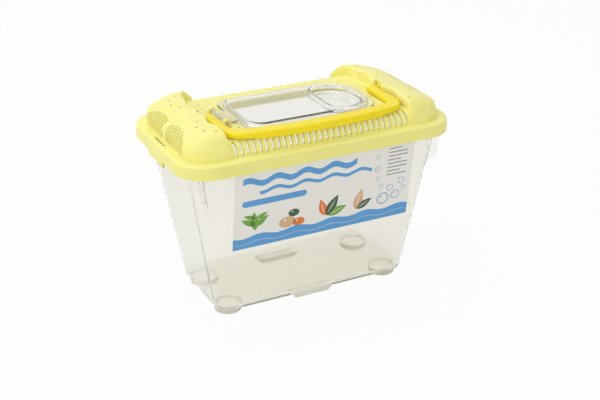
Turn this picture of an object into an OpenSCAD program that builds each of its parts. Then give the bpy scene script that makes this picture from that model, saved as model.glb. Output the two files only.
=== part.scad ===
// Plastic pet keeper: a clear tapered tank with a lemon lid, a clear hinged
// feeding hatch in the lid, a yellow carrying handle and a label on the front.
// Millimetres. X runs along the length, the front with the label faces -Y,
// and Z = 0 is the surface that the four feet stand on.

/* [Tank] */
// Height of the tank's rim above the surface it stands on
tank_h = 119.1; // [110:0.1:130]
// Height of the tank's underside above that surface, which the feet bridge
foot_h = 4.2; // [3:0.1:5]
// Length of the tank's outside at the underside
base_l = 143.6; // [135:0.2:150]
// Width of the tank's outside at the underside
base_w = 69.6; // [66:0.2:74]
// Length of the tank's outside at the stepped-out mouth
mouth_l = 191; // [186:0.5:191]
// Width of the tank's outside at the stepped-out mouth
mouth_w = 104; // [104:0.1:104.4]
// How far the mouth steps out of the sloping walls at the ends
mouth_step_l = 5.25; // [3.5:0.25:8]
// How far the mouth steps out of the sloping walls at the front and back
mouth_step_w = 0.5; // [0.5:0.25:4]
// Corner radius at the underside
base_r = 11; // [8:0.5:14]
// Corner radius at the mouth
mouth_r = 19; // [14:0.5:22]
// Thickness of the tank's walls and floor
tank_wall = 1.6; // [1.2:0.1:2.2]
// Height of the stepped-out mouth and of the thicker band round it
rim_h = 5; // [3:0.5:8]
// How far the rim band stands out of the wall
rim_out = 0.9; // [0.5:0.1:1.2]
// Radius of the rounding between the walls and the underside
base_round = 3.5; // [2:0.5:4]

/* [Feet and stacking lugs] */
// Radius of each round foot
foot_r = 9.6; // [7:0.1:10]
// Distance from a foot to the wall at the ends
foot_end = 1.8; // [1.8:0.1:6]
// Distance from a foot to the wall at the front and back
foot_side = 3.6; // [3.6:0.1:6]
// Length of the middle foot at the front and back, at the surface
pad_l = 27; // [20:1:34]
// Length of the same foot where it meets the underside
pad_top_l = 35; // [28:1:42]
// Width of the middle foot
pad_w = 7; // [5:0.5:10]
// Thickness of a stacking lug, an upright fin on each corner below the rim
lug_t = 1.6; // [1.2:0.1:2.4]
// How far a lug stands out of the corner
lug_out = 5; // [3:0.25:5]
// Height of the lugs' lower ends above the surface
lug_z = 94; // [85:1:103]
// Height of the slope under a lug
lug_slope = 7; // [4:0.5:9]

/* [Lid] */
// Gap between the band round the mouth and the lid's skirt
skirt_gap = 0.8; // [0.4:0.1:1.2]
// Height of the skirt round the rim, with its top plate
skirt_h = 9; // [7:0.5:12]
// Thickness of the lid's walls
lid_wall = 1.8; // [1.4:0.1:2.2]
// Radius of the rounding along the skirt's top edge
skirt_round = 1.6; // [1:0.2:2]
// Height of the deck above the skirt's top
deck_rise = 8.9; // [7:0.1:10]
// Width of the ledge between the skirt and the raised deck, front and back
ledge_y = 7.6; // [6:0.2:9]
// Width of the ledge between the skirt and the humps at both ends
ledge_x = 6.8; // [6:0.2:9]
// Depth of the snap tabs below the skirt
tab_drop = 4; // [3:0.5:6]
// Length of each snap tab
tab_l = 26; // [18:1:32]
// Length of the slit above each snap tab
slit_l = 17.6; // [10:0.2:24]
// Width of that slit
slit_w = 1.6; // [1:0.1:2]

/* [Humps] */
// Height of the humps' crests above the deck
hump_rise = 6.8; // [5:0.2:9]
// Distance of the humps' inner walls from the middle
hump_x = 65.7; // [65.5:0.1:67]
// How much lower the humps are at their outer ends
hump_fall = 3.5; // [2:0.5:6]
// Radius of the rounding at the humps' outer ends
hump_end_r = 7; // [5:0.5:10]
// Radius of the rounding at the humps' front
hump_front_r = 14; // [10:1:18]
// Radius of the rounding at the humps' back
hump_back_r = 6; // [4:0.5:10]
// Corner radius of the humps, seen from above
hump_corner_r = 19; // [15:0.5:22]
// Depth of the finger scoops in the inner walls, on both sides of each pivot
scoop = 2.4; // [0:0.2:3]
// Width of the notch between the two lobes of a hump, at the pivot
notch_w = 8.4; // [7:0.2:10]
// Depth of that notch behind the inner wall
notch_d = 2.4; // [1.6:0.1:3]

/* [Vents] */
// Number of slots in the front shoulder
slots = 30; // [20:1:30]
// Spacing of the front slots
slot_pitch = 4.25; // [3.6:0.05:4.25]
// Width of a front slot
slot_w = 2; // [1.4:0.1:2.4]
// Number of slots in each of the two rows of one end
end_slots = 9; // [5:1:9]
// Spacing of the end slots
end_pitch = 3.2; // [2.8:0.1:3.2]
// Width of an end slot
end_slot_w = 1.3; // [1:0.1:1.6]
// Distance from the middle to the first slot of each of the two rows
end_first = 4.6; // [3:0.2:5]
// Depth that the end slots are cut to
end_depth = 14; // [10:0.5:14]
// Height of the longest end slot
end_slot_h = 11.5; // [8:0.5:11.5]
// How much shorter the slots get towards the hump's ends
end_slot_fall = 9; // [4:0.5:12]
// Height of the end slots above the ledge
end_low = 1.2; // [1:0.1:3]
// How far the front slots reach in from the foot of the shoulder
slot_reach = 8.4; // [6:0.2:8.6]
// Height of the front slots above the ledge
slot_low = 0.9; // [0.6:0.1:3]
// Radius of the small round air holes
hole_r = 0.9; // [0.6:0.05:1.1]
// Spacing of the air holes in the deck, along the length
hole_pitch_x = 4; // [3.6:0.1:4.2]
// Spacing of the air holes in the deck, along the width
hole_pitch_y = 6.6; // [5:0.1:8]
// Distance of the deck's air holes from what stands beside them
hole_edge = 1.2; // [1:0.1:2]
// Distance from a pivot to the middle of the arc of air holes in each lobe
lobe_y = 24; // [23:0.5:25]
// How far that arc starts inside the hump's inner wall
lobe_in = 1; // [0.5:0.1:2]
// Half width of that arc, along the lid
lobe_arc_x = 13.4; // [11:0.2:14]
// Half width of that arc, across the lid
lobe_arc_y = 13; // [11:0.5:14]

/* [Hatch] */
// Gap between the hatch's right end and the handle's right arm
hatch_end_gap = 4.2; // [3.6:0.1:16]
// Gap between the hatch's front edge and the middle of the folded grip
hatch_front_gap = 3.1; // [3.1:0.1:6]
// Width of the hatch, across the lid
hatch_w = 61.6; // [56:0.2:62]
// Thickness of the hatch
hatch_t = 1.6; // [1.2:0.1:2]
// Height of the raised tray above the deck
tray_h = 3.8; // [3:0.1:4.6]
// Width of the flange round the tray
flange = 3.5; // [2:0.25:4]
// How far the flange rests on the deck round the opening
lap = 3.2; // [2:0.1:4]
// Corner radius of the hatch at its hinge end
hatch_r = 10; // [8:0.5:12]
// Corner radius of the hatch at its right end
hatch_end_r = 20; // [14:1:22]
// Radius of the bow of the hatch's right end
hatch_bow = 80; // [75:5:400]
// Width of the hinge tongue
tongue_w = 21; // [16:1:28]
// Length of the hinge tongue, from the hinge to the flange
tongue_l = 8.1; // [6:0.1:9]
// Radius of the hinge barrel on the tongue
barrel_r = 1.9; // [1.7:0.05:2]
// Radius of the hatch's hinge pins
hatch_pin_r = 1.2; // [1:0.05:1.4]
// Radius of the finger dish's round ends
dish_r = 12; // [9:0.5:13]
// Length of the finger dish, across the lid
dish_l = 46; // [36:1:50]
// Depth of the finger dish below the tray's top
dish_d = 5.5; // [4:0.5:7]
// Distance of the finger dish's middle from the hatch's right end
dish_in = 22.5; // [20:0.5:30]
// Thickness of the two ears that hold the hinge pins
ear_t = 3; // [2:0.1:3.4]

/* [Handle] */
// Gap between the handle's arms and the humps
arm_gap = 0.9; // [0.5:0.1:1.5]
// Width of an arm
arm_w = 7; // [6:0.1:7.2]
// Distance of the grip's front face from the pivots
handle_reach = 47; // [46:0.1:48.5]
// Width of the grip bar
grip_w = 10.3; // [8:0.1:10.4]
// Thickness of the handle
handle_t = 3.8; // [3:0.1:5]
// Outer radius of the handle's corners
handle_r = 15; // [11.5:0.5:16]
// Radius of the grip's gentle outward bow
grip_bow = 380; // [300:10:900]
// How far the grip's front hangs down over the deck's shoulder
grip_drop = 1.6; // [0.8:0.2:2]
// Length of the grip's hanging front
grip_drop_l = 96; // [80:2:100]
// Radius of the handle's pivot pins
pivot_r = 2; // [1.5:0.1:2.2]
// Length of a pivot pin inside its socket
pin_in = 3.3; // [2:0.1:4]

/* [Label] */
// Length of the label
label_l = 131; // [100:1:134]
// Height of the label's lower edge above the surface
label_z = 53.6; // [45:0.2:70]
// Distance of the label's upper edge below the tank's rim
label_drop = 7.1; // [6.1:0.5:19.1]
// How far the label's middle is right of the tank's middle
label_x = 1; // [-2:0.5:2]
// Thickness of the label
label_t = 0.25; // [0.15:0.05:0.4]
// Corner radius of the label
label_r = 2; // [1:0.5:4]

/* [Fits] */
// Gap between a moving part and what it passes or lies on
gap = 0.3; // [0.2:0.05:0.5]
// Radial clearance of a pin in its bore
pin_gap = 0.08; // [0.05:0.01:0.1]

/* [Hidden] */
$fn = 48;
// overlap that makes pieces of one solid join, and cutters reach past a face
eps = 0.5;
// steps in a quarter turn of the rounded rings that the shells are made of
corner_steps = 6;
// steps round a corner of the handle and along its bow
bail_steps = 12;
bow_steps = 24;

// heights
plate_z = tank_h;
label_top = tank_h - label_drop;
ledge_z = plate_z + lid_wall;
skirt_z = ledge_z - skirt_h;
deck_z = ledge_z + deck_rise;
crest_z = deck_z + hump_rise;
pivot_z = deck_z + gap + handle_t / 2;
hinge_z = deck_z + gap + barrel_r;
rim_z = tank_h - rim_h;

// the sloping walls at their top, where the mouth steps out
wall_l = mouth_l - 2 * mouth_step_l;
wall_w = mouth_w - 2 * mouth_step_w;

// the lid goes over the band round the mouth
lid_grow = rim_out + skirt_gap + lid_wall;
lid_l = mouth_l + 2 * lid_grow;
lid_w = mouth_w + 2 * lid_grow;
lid_r = mouth_r + lid_grow;
// how much the skirt narrows towards its top, a side
skirt_draft = 0.4;

// half sizes of the deck's shoulders and of the humps
dome_y = lid_w / 2 - ledge_y;
hump_y = dome_y + eps;
hump_end = lid_l / 2 - ledge_x;
// rounding of the humps' inner top edge
hump_edge = 1.6;
// middle and half length of a finger scoop, from the pivot
scoop_y = 18;
scoop_half = 12;

// the sloping wall: its lean from upright, and how far a corner falls in, a millimetre down
lean = atan2((wall_w - base_w) / 2, rim_z - foot_h);
corner_fall = tan(lean) * sqrt(2) - (mouth_r - base_r) / (rim_z - foot_h) * (sqrt(2) - 1);

// places round the arc of air holes in a lobe, and where along a row its longest slot is
lobe_angles = [66, 30, -6, -42];
vent_peak = 0.35;

// handle
handle_l = 2 * (hump_x - arm_gap);
arm_in = handle_l / 2 - arm_w;
pivot_hole = pivot_r + pin_gap;
socket_x = hump_x + notch_d;
pivot_end = socket_x + pin_in;
// plastic round a pivot socket, above it and to both sides
boss_wall = 1.4;
boss_w = 12;

// hatch: the hinge stands beside the left arm, and the flange beside the hinge
hinge_side = 1.3;
hinge_x = barrel_r + hinge_side - arm_in;
hatch_x0 = hinge_x + tongue_l;
hatch_x1 = arm_in - hatch_end_gap;
hatch_l = hatch_x1 - hatch_x0;
hatch_y = grip_w - handle_reach + hatch_front_gap + hatch_w / 2;
dish_x = hatch_x1 - dish_in;
ear_wall = 0.7;
ear_r = barrel_r + ear_wall;

// ---- outlines ----

// points of a circle's arc about (x, y), from angle a to angle b
function arc(x, y, r, a, b, n) =
    [for (i = [0:n]) let (t = a + (b - a) * i / n) [x + r * cos(t), y + r * sin(t)]];

// rounded rectangle as a ring of points at height z, anticlockwise from above
function ring(l, w, r, z) =
    [for (q = [0:3])
        let (sx = (q == 0 || q == 3) ? 1 : -1, sy = q < 2 ? 1 : -1)
        for (p = arc(sx * (l / 2 - r), sy * (w / 2 - r), r, q * 90, q * 90 + 90, corner_steps))
            [p[0], p[1], z]];

// solid between rings of equally many points, from the lowest ring to the highest
module skin(rings) {
    n = len(rings[0]);
    top = (len(rings) - 1) * n;
    sides = [for (k = [0:len(rings) - 2]) for (i = [0:n - 1])
        let (j = (i + 1) % n, a = k * n, b = a + n)
        for (face = [[a + i, b + i, b + j], [a + i, b + j, a + j]]) face];
    caps = [[for (i = [0:n - 1]) i], [for (i = [n - 1:-1:0]) top + i]];
    polyhedron([for (r = rings) for (p = r) p], concat(sides, caps));
}

// rectangle with rounded corners
module round_rect(l, w, r) {
    square([l - 2 * r, w], center = true);
    square([l, w - 2 * r], center = true);
    for (x = [-1, 1]) for (y = [-1, 1])
        translate([x * (l / 2 - r), y * (w / 2 - r)]) circle(r);
}

// solid cylinder along X, from x0 to x1
module rod_x(x0, x1, r) {
    translate([x0, 0, 0]) rotate([0, 90, 0]) cylinder(r = r, h = x1 - x0);
}

// the same thing at both ends, or at the front and back
module both_ends() {
    for (x = [0, 1]) mirror([x, 0, 0]) children();
}
module both_sides() {
    for (y = [0, 1]) mirror([0, y, 0]) children();
}

// ---- tank ----

// share of the way up the sloping wall at height z
function rise(z) = (z - foot_h) / (rim_z - foot_h);
function tank_l(z) = base_l + (wall_l - base_l) * rise(z);
function tank_w(z) = base_w + (wall_w - base_w) * rise(z);
function tank_r(z) = base_r + (mouth_r - base_r) * rise(z);
function tank_ring(z, grow) = ring(tank_l(z) + 2 * grow, tank_w(z) + 2 * grow, tank_r(z) + grow, z);

// the tank's outer or inner form, drawn in by inset and starting at height z0
module tank_form(inset, z0, top) {
    round_rings = [for (a = [0:30:90])
        tank_ring(z0 + base_round * (1 - cos(a)), -inset - base_round * (1 - sin(a)))];
    skin(concat(round_rings, [tank_ring(rim_z, -inset),
        ring(wall_l - 2 * inset, wall_w - 2 * inset, mouth_r - inset, top)]));
}

// the mouth's outline at height z, grown outwards
function mouth_ring(z, grow) =
    ring(mouth_l + 2 * grow, mouth_w + 2 * grow, mouth_r + grow, z);

// stepped-out mouth with the band round it, its underside sloping so that it drains
module rim_form() {
    skin([tank_ring(rim_z - rim_out, -eps / 2), mouth_ring(rim_z, rim_out),
        mouth_ring(tank_h, rim_out)]);
}

// hollow of the stepped-out mouth
module rim_hollow() {
    skin([tank_ring(rim_z, -tank_wall - eps / 2), mouth_ring(rim_z + tank_wall, -tank_wall),
        mouth_ring(tank_h + eps, -tank_wall)]);
}

// stacking lug: a fin on a corner's diagonal that follows the wall down from the rim,
// cut square below, with a slope back to the wall
module lug() {
    corner = mouth_r * (1 - cos(45));
    foot_z = lug_z - lug_slope;
    inside = mouth_r - base_r + tank_wall;
    drop = (rim_z - lug_z) * corner_fall;
    translate([wall_l / 2 - corner, wall_w / 2 - corner, 0]) rotate([0, 0, 45])
        rotate([90, 0, 0]) linear_extrude(lug_t, center = true)
            polygon([[-inside, foot_z], [(foot_z - rim_z) * corner_fall, foot_z],
                [lug_out * 0.4 - drop, lug_z], [lug_out - drop, lug_z],
                [lug_out, rim_z - eps], [-inside, rim_z - eps]]);
}

// round foot near a corner of the underside
module foot() {
    translate([base_l / 2 - foot_end - foot_r, base_w / 2 - foot_side - foot_r, 0])
        cylinder(r = foot_r, h = foot_h + eps);
}

// long foot at the middle of the back, wider above
module pad() {
    translate([0, base_w / 2 - base_round - pad_w / 2, 0]) rotate([90, 0, 0])
        linear_extrude(pad_w, center = true)
            polygon([[-pad_l / 2, 0], [pad_l / 2, 0], [pad_top_l / 2, foot_h + eps],
                [-pad_top_l / 2, foot_h + eps]]);
}

module tank() {
    color([0.90, 0.90, 0.88, 0.45]) difference() {
        union() {
            tank_form(0, foot_h, tank_h);
            rim_form();
            both_ends() both_sides() {
                lug();
                foot();
            }
            both_sides() pad();
        }
        tank_form(tank_wall, foot_h + tank_wall, tank_h + eps);
        rim_hollow();
    }
}

// ---- label ----

module label() {
    wall_y = -tank_w(label_z) / 2;
    h = (label_top - label_z) / cos(lean);
    color([0.86, 0.85, 0.82]) translate([label_x, wall_y, label_z]) rotate([90 + lean, 0, 0])
        translate([0, h / 2, 0]) linear_extrude(label_t) round_rect(label_l, h, label_r);
}

// ---- lid ----

// skirt and ledge plate, with the outside's top edge rounded
module skirt_form() {
    edge = [for (a = [0:22.5:90]) skirt_round * [1 - cos(a), sin(a)]];
    skin(concat([ring(lid_l, lid_w, lid_r, skirt_z)],
        [for (e = edge) let (in = skirt_draft + e[0])
            ring(lid_l - 2 * in, lid_w - 2 * in, lid_r - in, ledge_z - skirt_round + e[1])]));
}

// raised deck between the humps, with quarter-round shoulders front and back
module deck_form(inset) {
    r = deck_rise;
    w = dome_y - inset;
    top = deck_z - inset;
    low = plate_z - (inset > 0 ? eps : 0);
    rotate([90, 0, 90]) linear_extrude(2 * (hump_x + scoop + lid_wall), center = true) {
        translate([-w + r, low]) square([2 * (w - r), top - low]);
        translate([-w, low]) square([2 * w, top - r - low]);
        for (s = [-1, 1]) translate([s * (w - r), top - r]) circle(r);
    }
}

// distance of a hump's inner wall from the middle: straight beside the handle,
// scooped for the fingers, and curving in behind the folded handle's corner
pocket_r = handle_r + 2.5 * gap;
pocket_y = handle_reach - handle_r;
function scooped(y) = let (t = (abs(y) - scoop_y) / scoop_half)
    abs(t) < 1 ? scoop * pow(cos(90 * t), 2) : 0;
function pocket(y) = let (d = min(max(0, y - pocket_y), pocket_r * 0.97))
    pocket_r - sqrt(pow(pocket_r, 2) - pow(d, 2));
function hump_in(y) = hump_x + scooped(y) - pocket(y);
function hump_out(y) = let (d = min(max(0, abs(y) - hump_y + hump_corner_r), hump_corner_r))
    hump_end - hump_corner_r + sqrt(pow(hump_corner_r, 2) - pow(d, 2));

// cross-section of the right-hand hump at y, fall = 1 along it and 0 at its ends
function hump_section(y, fall, inset) =
    let (x0 = hump_in(y) + inset,
        x1 = hump_out(y) - inset * 1.1,
        base = plate_z - (inset > 0 ? eps : 0),
        r = min(hump_end_r, (x1 - x0) / 2 - 1),
        low = crest_z - hump_fall - r,
        tops = concat(
            [for (a = [0:45:90])
                [x0 + hump_edge * (1 - cos(a)), crest_z - hump_edge * (1 - sin(a))]],
            [[(x0 + hump_edge + x1 - r) / 2, crest_z - hump_fall * 0.3]],
            [for (a = [90:-30:0]) [x1 - r * (1 - cos(a)), low + r * sin(a)]]))
    concat([[x0, y, base]],
        [for (p = tops)
            [p[0], y, max(base + 0.2, ledge_z + (p[1] - ledge_z) * fall - inset)]],
        [[x1, y, base]]);

// the right-hand hump, as cross-sections from the front to the back
module hump_form(inset) {
    y1 = hump_y - inset;
    y_front = hump_front_r - y1;
    y_back = y1 - hump_back_r;
    steps = 12;
    stations = concat(
        [for (a = [0:18:72]) [y_front - hump_front_r * cos(a), sin(a)]],
        [for (i = [0:steps]) [y_front + (y_back - y_front) * i / steps, 1]],
        [for (a = [72:-18:0]) [y_back + hump_back_r * cos(a), sin(a)]]);
    skin([for (s = stations) hump_section(s[0], s[1], inset)]);
}

// boss inside the hump that holds a pivot pin of the handle
module pivot_boss() {
    translate([socket_x, -boss_w / 2, plate_z])
        cube([pin_in + gap + boss_wall, boss_w, pivot_z + pivot_hole + boss_wall - plate_z]);
}

// open notch between the two lobes of a hump, and the socket behind it
module pivot_cut() {
    translate([hump_x - scoop, -notch_w / 2, deck_z])
        cube([socket_x - hump_x + scoop, notch_w, crest_z]);
    translate([0, 0, pivot_z]) rod_x(socket_x - eps, pivot_end + gap, pivot_hole);
}

// ear that holds the back end of the hatch's hinge pin
module hinge_ear() {
    translate([hinge_x, tongue_w / 2 + gap, 0]) rotate([-90, 0, 0]) linear_extrude(ear_t) {
        translate([0, -hinge_z]) circle(ear_r);
        translate([-ear_r, -hinge_z]) square([2 * ear_r, hinge_z - deck_z + eps]);
    }
}

// bore of that ear
module hinge_bore() {
    translate([hinge_x, tongue_w / 2 - gap, hinge_z]) rotate([-90, 0, 0])
        cylinder(r = hatch_pin_r + pin_gap, h = ear_t + 3 * gap);
}

// snap tab under the middle of the right-hand end, and the slit above it
module snap_tab() {
    t = lid_wall;
    low = skirt_z - tab_drop;
    translate([lid_l / 2 - t - skirt_draft / 4, 0, 0]) rotate([90, 0, 0])
        linear_extrude(tab_l, center = true)
            polygon([[0, skirt_z + eps], [0, low], [t * 0.6, low], [t, low + 1],
                [t, skirt_z + eps]]);
}
module tab_slit() {
    translate([lid_l / 2 - ledge_x / 2 - slit_w, -slit_l / 2, plate_z - eps])
        cube([slit_w, slit_l, lid_wall + 2 * eps]);
}

// the slots come down the front shoulder and reach under the folded grip
module front_slots() {
    for (i = [0:slots - 1])
        translate([(i - (slots - 1) / 2) * slot_pitch - slot_w / 2, -dome_y - eps,
            ledge_z + slot_low])
            cube([slot_w, slot_reach + eps, deck_rise]);
}

// two rows of slots in the right-hand end, longest where the hump is highest
module end_vents() {
    for (s = [-1, 1]) for (i = [0:end_slots - 1]) {
        off = pow((i - vent_peak * (end_slots - 1)) / end_slots, 2);
        translate([hump_end - end_depth * (0.5 - off),
            s * (end_first + i * end_pitch) - end_slot_w / 2, ledge_z + end_low])
            cube([end_depth, end_slot_w, end_slot_h - end_slot_fall * off]);
    }
}

// an arc of small round holes on each lobe of the right-hand hump
module lobe_holes() {
    for (s = [-1, 1]) for (a = lobe_angles)
        translate([hump_x - lobe_in + lobe_arc_x * cos(a),
            s * (lobe_y + lobe_arc_y * sin(a)), deck_z])
            cylinder(r = hole_r, h = crest_z - deck_z + eps);
}

// staggered air holes in the deck, between the left-hand hump and the hatch
module deck_holes() {
    first_x = hole_pitch_x + hole_edge - hump_x;
    first_y = tongue_w / 2 + gap + ear_t + hole_edge;
    for (i = [0:3]) for (j = [0:3]) {
        x = first_x + i * hole_pitch_x;
        y = first_y + hole_pitch_y * (j + (i % 2) / 2);
        beside = x < hatch_x0 - 2 * hole_r || y > hatch_w / 2 - 2 * hole_r;
        if (beside && y - hatch_y + hole_r < dome_y - deck_rise - hole_edge)
            translate([x, hatch_y, deck_z - lid_wall - eps]) both_sides()
                translate([0, y, 0]) cylinder(r = hole_r, h = lid_wall + 2 * eps);
    }
}

module lid() {
    color([0.98, 0.95, 0.62]) difference() {
        union() {
            difference() {
                union() {
                    skirt_form();
                    deck_form(0);
                    both_ends() hump_form(0);
                }
                translate([0, 0, skirt_z - eps]) linear_extrude(plate_z - skirt_z + eps)
                    round_rect(lid_l - 2 * lid_wall, lid_w - 2 * lid_wall, lid_r - lid_wall);
                deck_form(lid_wall);
                both_ends() hump_form(lid_wall);
            }
            both_ends() {
                pivot_boss();
                snap_tab();
            }
            translate([0, hatch_y, 0]) both_sides() hinge_ear();
        }
        both_ends() {
            pivot_cut();
            end_vents();
            lobe_holes();
            tab_slit();
        }
        front_slots();
        deck_holes();
        translate([0, 0, deck_z - lid_wall - eps]) linear_extrude(lid_wall + 2 * eps)
            hatch_outline(lap);
        translate([0, hatch_y, 0]) both_sides() hinge_bore();
    }
}

// ---- hatch ----

// the hatch's outline, drawn in by inset: rounded corners, larger at the bowed right end
module hatch_outline(inset) {
    l = hatch_l - 2 * inset;
    w = hatch_w - 2 * inset;
    translate([hatch_x1, hatch_y]) intersection() {
        translate([-hatch_l / 2, 0]) round_rect(l, w, hatch_r);
        translate([-hatch_l / 2 - hatch_end_r, 0]) round_rect(l + 2 * hatch_end_r, w, hatch_end_r);
        translate([-hatch_bow, 0]) circle(hatch_bow - inset, $fn = 180);
    }
}

// the finger dish, grown outwards, from depth below the tray's top up to above
module dish(grow, depth, above) {
    r = dish_r + grow;
    translate([dish_x, hatch_y, deck_z + tray_h - depth]) linear_extrude(depth + above) {
        square([2 * r, dish_l - 2 * dish_r], center = true);
        for (s = [-1, 1]) translate([0, s * (dish_l / 2 - dish_r)]) circle(r);
    }
}

// hinge tongue with its barrel and the two pins
module tongue() {
    translate([hinge_x, hatch_y - tongue_w / 2, deck_z + gap])
        cube([tongue_l + flange / 2, tongue_w, hatch_t]);
    translate([hinge_x, hatch_y, hinge_z]) rotate([90, 0, 0]) {
        cylinder(r = barrel_r, h = tongue_w, center = true);
        cylinder(r = hatch_pin_r, h = tongue_w + 2 * (gap + ear_t), center = true);
    }
}

module hatch() {
    color([0.85, 0.87, 0.86, 0.5]) difference() {
        union() {
            difference() {
                translate([0, 0, deck_z]) {
                    linear_extrude(hatch_t) hatch_outline(0);
                    linear_extrude(tray_h) hatch_outline(flange);
                }
                translate([0, 0, deck_z - eps]) linear_extrude(tray_h - hatch_t + eps)
                    hatch_outline(flange + hatch_t);
            }
            dish(hatch_t, dish_d + hatch_t, 0);
            tongue();
        }
        dish(0, dish_d, eps);
    }
}

// ---- handle ----

// a bail in plan: straight arms, and round corners that run into a bowed front
module bail(l, reach, r, bow) {
    cx = l / 2 - r;
    end = acos(cx / (bow - r));
    cy = bow - reach - (bow - r) * sin(end);
    step = (180 - 2 * end) / bow_steps;
    polygon(concat([[-l / 2, 0], [l / 2, 0]], arc(cx, cy, r, 0, -end, bail_steps),
        arc(0, bow - reach, bow, -end - step, end - 180 + step, bow_steps - 2),
        arc(-cx, cy, r, end - 180, -180, bail_steps)));
}

// the grip's front, hanging down as far as the deck's shoulder lets it
module grip_front() {
    difference() {
        translate([0, 0, -handle_t / 2 - grip_drop]) linear_extrude(grip_drop + eps)
            intersection() {
                bail(handle_l, handle_reach, handle_r, grip_bow);
                translate([-grip_drop_l / 2, -handle_reach - eps])
                    square([grip_drop_l, grip_w / 2 + eps]);
            }
        translate([0, deck_rise - dome_y, ledge_z - pivot_z])
            rod_x(-handle_l, handle_l, deck_rise + gap);
    }
}

module handle() {
    color([1.0, 0.87, 0.15]) translate([0, 0, pivot_z]) {
        translate([0, 0, -handle_t / 2]) linear_extrude(handle_t) difference() {
            bail(handle_l, handle_reach, handle_r, grip_bow);
            translate([0, eps]) bail(2 * arm_in, handle_reach - grip_w + eps, handle_r - arm_w,
                grip_bow - grip_w);
        }
        grip_front();
        both_ends() {
            rod_x(arm_in, handle_l / 2, handle_t / 2);
            rod_x(handle_l / 2 - eps, pivot_end, pivot_r);
        }
    }
}

tank();
label();
lid();
hatch();
handle();
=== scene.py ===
# Plastic pet keeper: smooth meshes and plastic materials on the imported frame.
# Shapes are worked out in millimetres in the CAD's own frame, and meshes are in metres.
import math

import bmesh
import bpy
from mathutils import Matrix, Vector


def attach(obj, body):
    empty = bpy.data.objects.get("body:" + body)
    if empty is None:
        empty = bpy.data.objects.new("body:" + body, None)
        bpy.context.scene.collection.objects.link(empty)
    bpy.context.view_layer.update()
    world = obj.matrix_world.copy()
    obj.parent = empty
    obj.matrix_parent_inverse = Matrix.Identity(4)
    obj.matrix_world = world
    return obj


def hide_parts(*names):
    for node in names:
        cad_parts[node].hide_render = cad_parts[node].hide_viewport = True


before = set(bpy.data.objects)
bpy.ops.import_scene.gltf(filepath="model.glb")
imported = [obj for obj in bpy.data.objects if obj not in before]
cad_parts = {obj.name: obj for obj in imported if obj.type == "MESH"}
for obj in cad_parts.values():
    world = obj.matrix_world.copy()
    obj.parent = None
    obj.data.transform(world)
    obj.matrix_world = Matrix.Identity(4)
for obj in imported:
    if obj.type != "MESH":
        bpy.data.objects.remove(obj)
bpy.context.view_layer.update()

MM = 0.001
EPS = 0.5  # overlap of parts that join, and reach of cutters past a face
WELD = 0.002  # points nearer to each other than this become one
CORNER = 14  # steps in a quarter turn of the shells' corners

# ---- sizes, as in the CAD ----

TANK_H, FOOT_H = 119.1, 4.2
BASE_L, BASE_W, BASE_R = 143.6, 69.6, 11.0
WALL_L, WALL_W = 180.5, 103.0
MOUTH_L, MOUTH_W, MOUTH_R = 191.0, 104.0, 19.0
TANK_WALL, RIM_OUT, BASE_ROUND = 1.6, 0.9, 3.5
FOOT_R, FOOT_END, FOOT_SIDE = 9.6, 1.8, 3.6
PAD_L, PAD_TOP_L, PAD_W = 27.0, 35.0, 7.0
LUG_T, LUG_OUT, LUG_Z, LUG_SLOPE, LUG_STEP = 1.6, 5.0, 94.0, 7.0, 0.4
LID_WALL, SKIRT_ROUND, SKIRT_DRAFT = 1.8, 1.6, 0.4
DECK_RISE, LEDGE_X = 8.9, 6.8
TAB_DROP, TAB_L, SLIT_L, SLIT_W = 4.0, 26.0, 17.6, 1.6
TAB_TIP, TAB_CHAMFER, SLIT_R = 0.6, 1.0, 0.7
HUMP_X, HUMP_FALL, HUMP_EDGE = 65.7, 3.5, 1.6
HUMP_END_R, HUMP_FRONT_R, HUMP_BACK_R, HUMP_CORNER_R = 7.0, 14.0, 6.0, 19.0
SCOOP, SCOOP_Y, SCOOP_HALF, NOTCH_W = 2.4, 18.0, 12.0, 8.4
SLOTS, SLOT_PITCH, SLOT_W, SLOT_L, SLOT_R, SLOT_LOW = 30, 4.25, 2.0, 9.4, 0.9, 0.9
END_SLOTS, END_PITCH, END_SLOT_W, END_FIRST = 9, 3.2, 1.3, 4.6
END_DEPTH, END_SLOT_H, END_SLOT_FALL, END_LOW, VENT_PEAK = 14, 11.5, 9, 1.2, 0.35
HOLE_R, HOLE_X, HOLE_Y, HOLE_EDGE, HOLE_ROWS = 0.9, 4.0, 6.6, 1.2, 4
LOBE_IN, LOBE_Y, LOBE_ARC_X, LOBE_ARC_Y = 1, 24, 13.4, 13
LOBE_ANGLES = (66, 30, -6, -42)
HATCH_W, HATCH_T, TRAY_H, HATCH_Y = 61.6, 1.6, 3.8, -2.8
FLANGE, LAP, HATCH_R, HATCH_END_R, HATCH_BOW = 3.5, 3.2, 10.0, 20.0, 80.0
TONGUE_W, BARREL_R, HATCH_PIN_R = 21.0, 1.9, 1.2
DISH_R, DISH_L, DISH_D = 12.0, 46.0, 5.5
EAR_T, EAR_R = 3.0, 2.6
ARM_W, REACH, GRIP_W, HANDLE_T, HANDLE_R, GRIP_BOW = 7.0, 47.0, 10.3, 3.8, 15.0, 380.0
GRIP_DROP, GRIP_DROP_L = 1.6, 96.0
PIVOT_R, PIN_IN, EDGE_R = 2.0, 3.3, 1.5
LABEL_L, LABEL_Z, LABEL_TOP, LABEL_X, LABEL_T, LABEL_R = 131.0, 53.6, 112.0, 1.0, 0.25, 2
GAP, PIN_GAP = 0.3, 0.08
BOSS_W, BOSS_WALL = 12.0, 1.4

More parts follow.
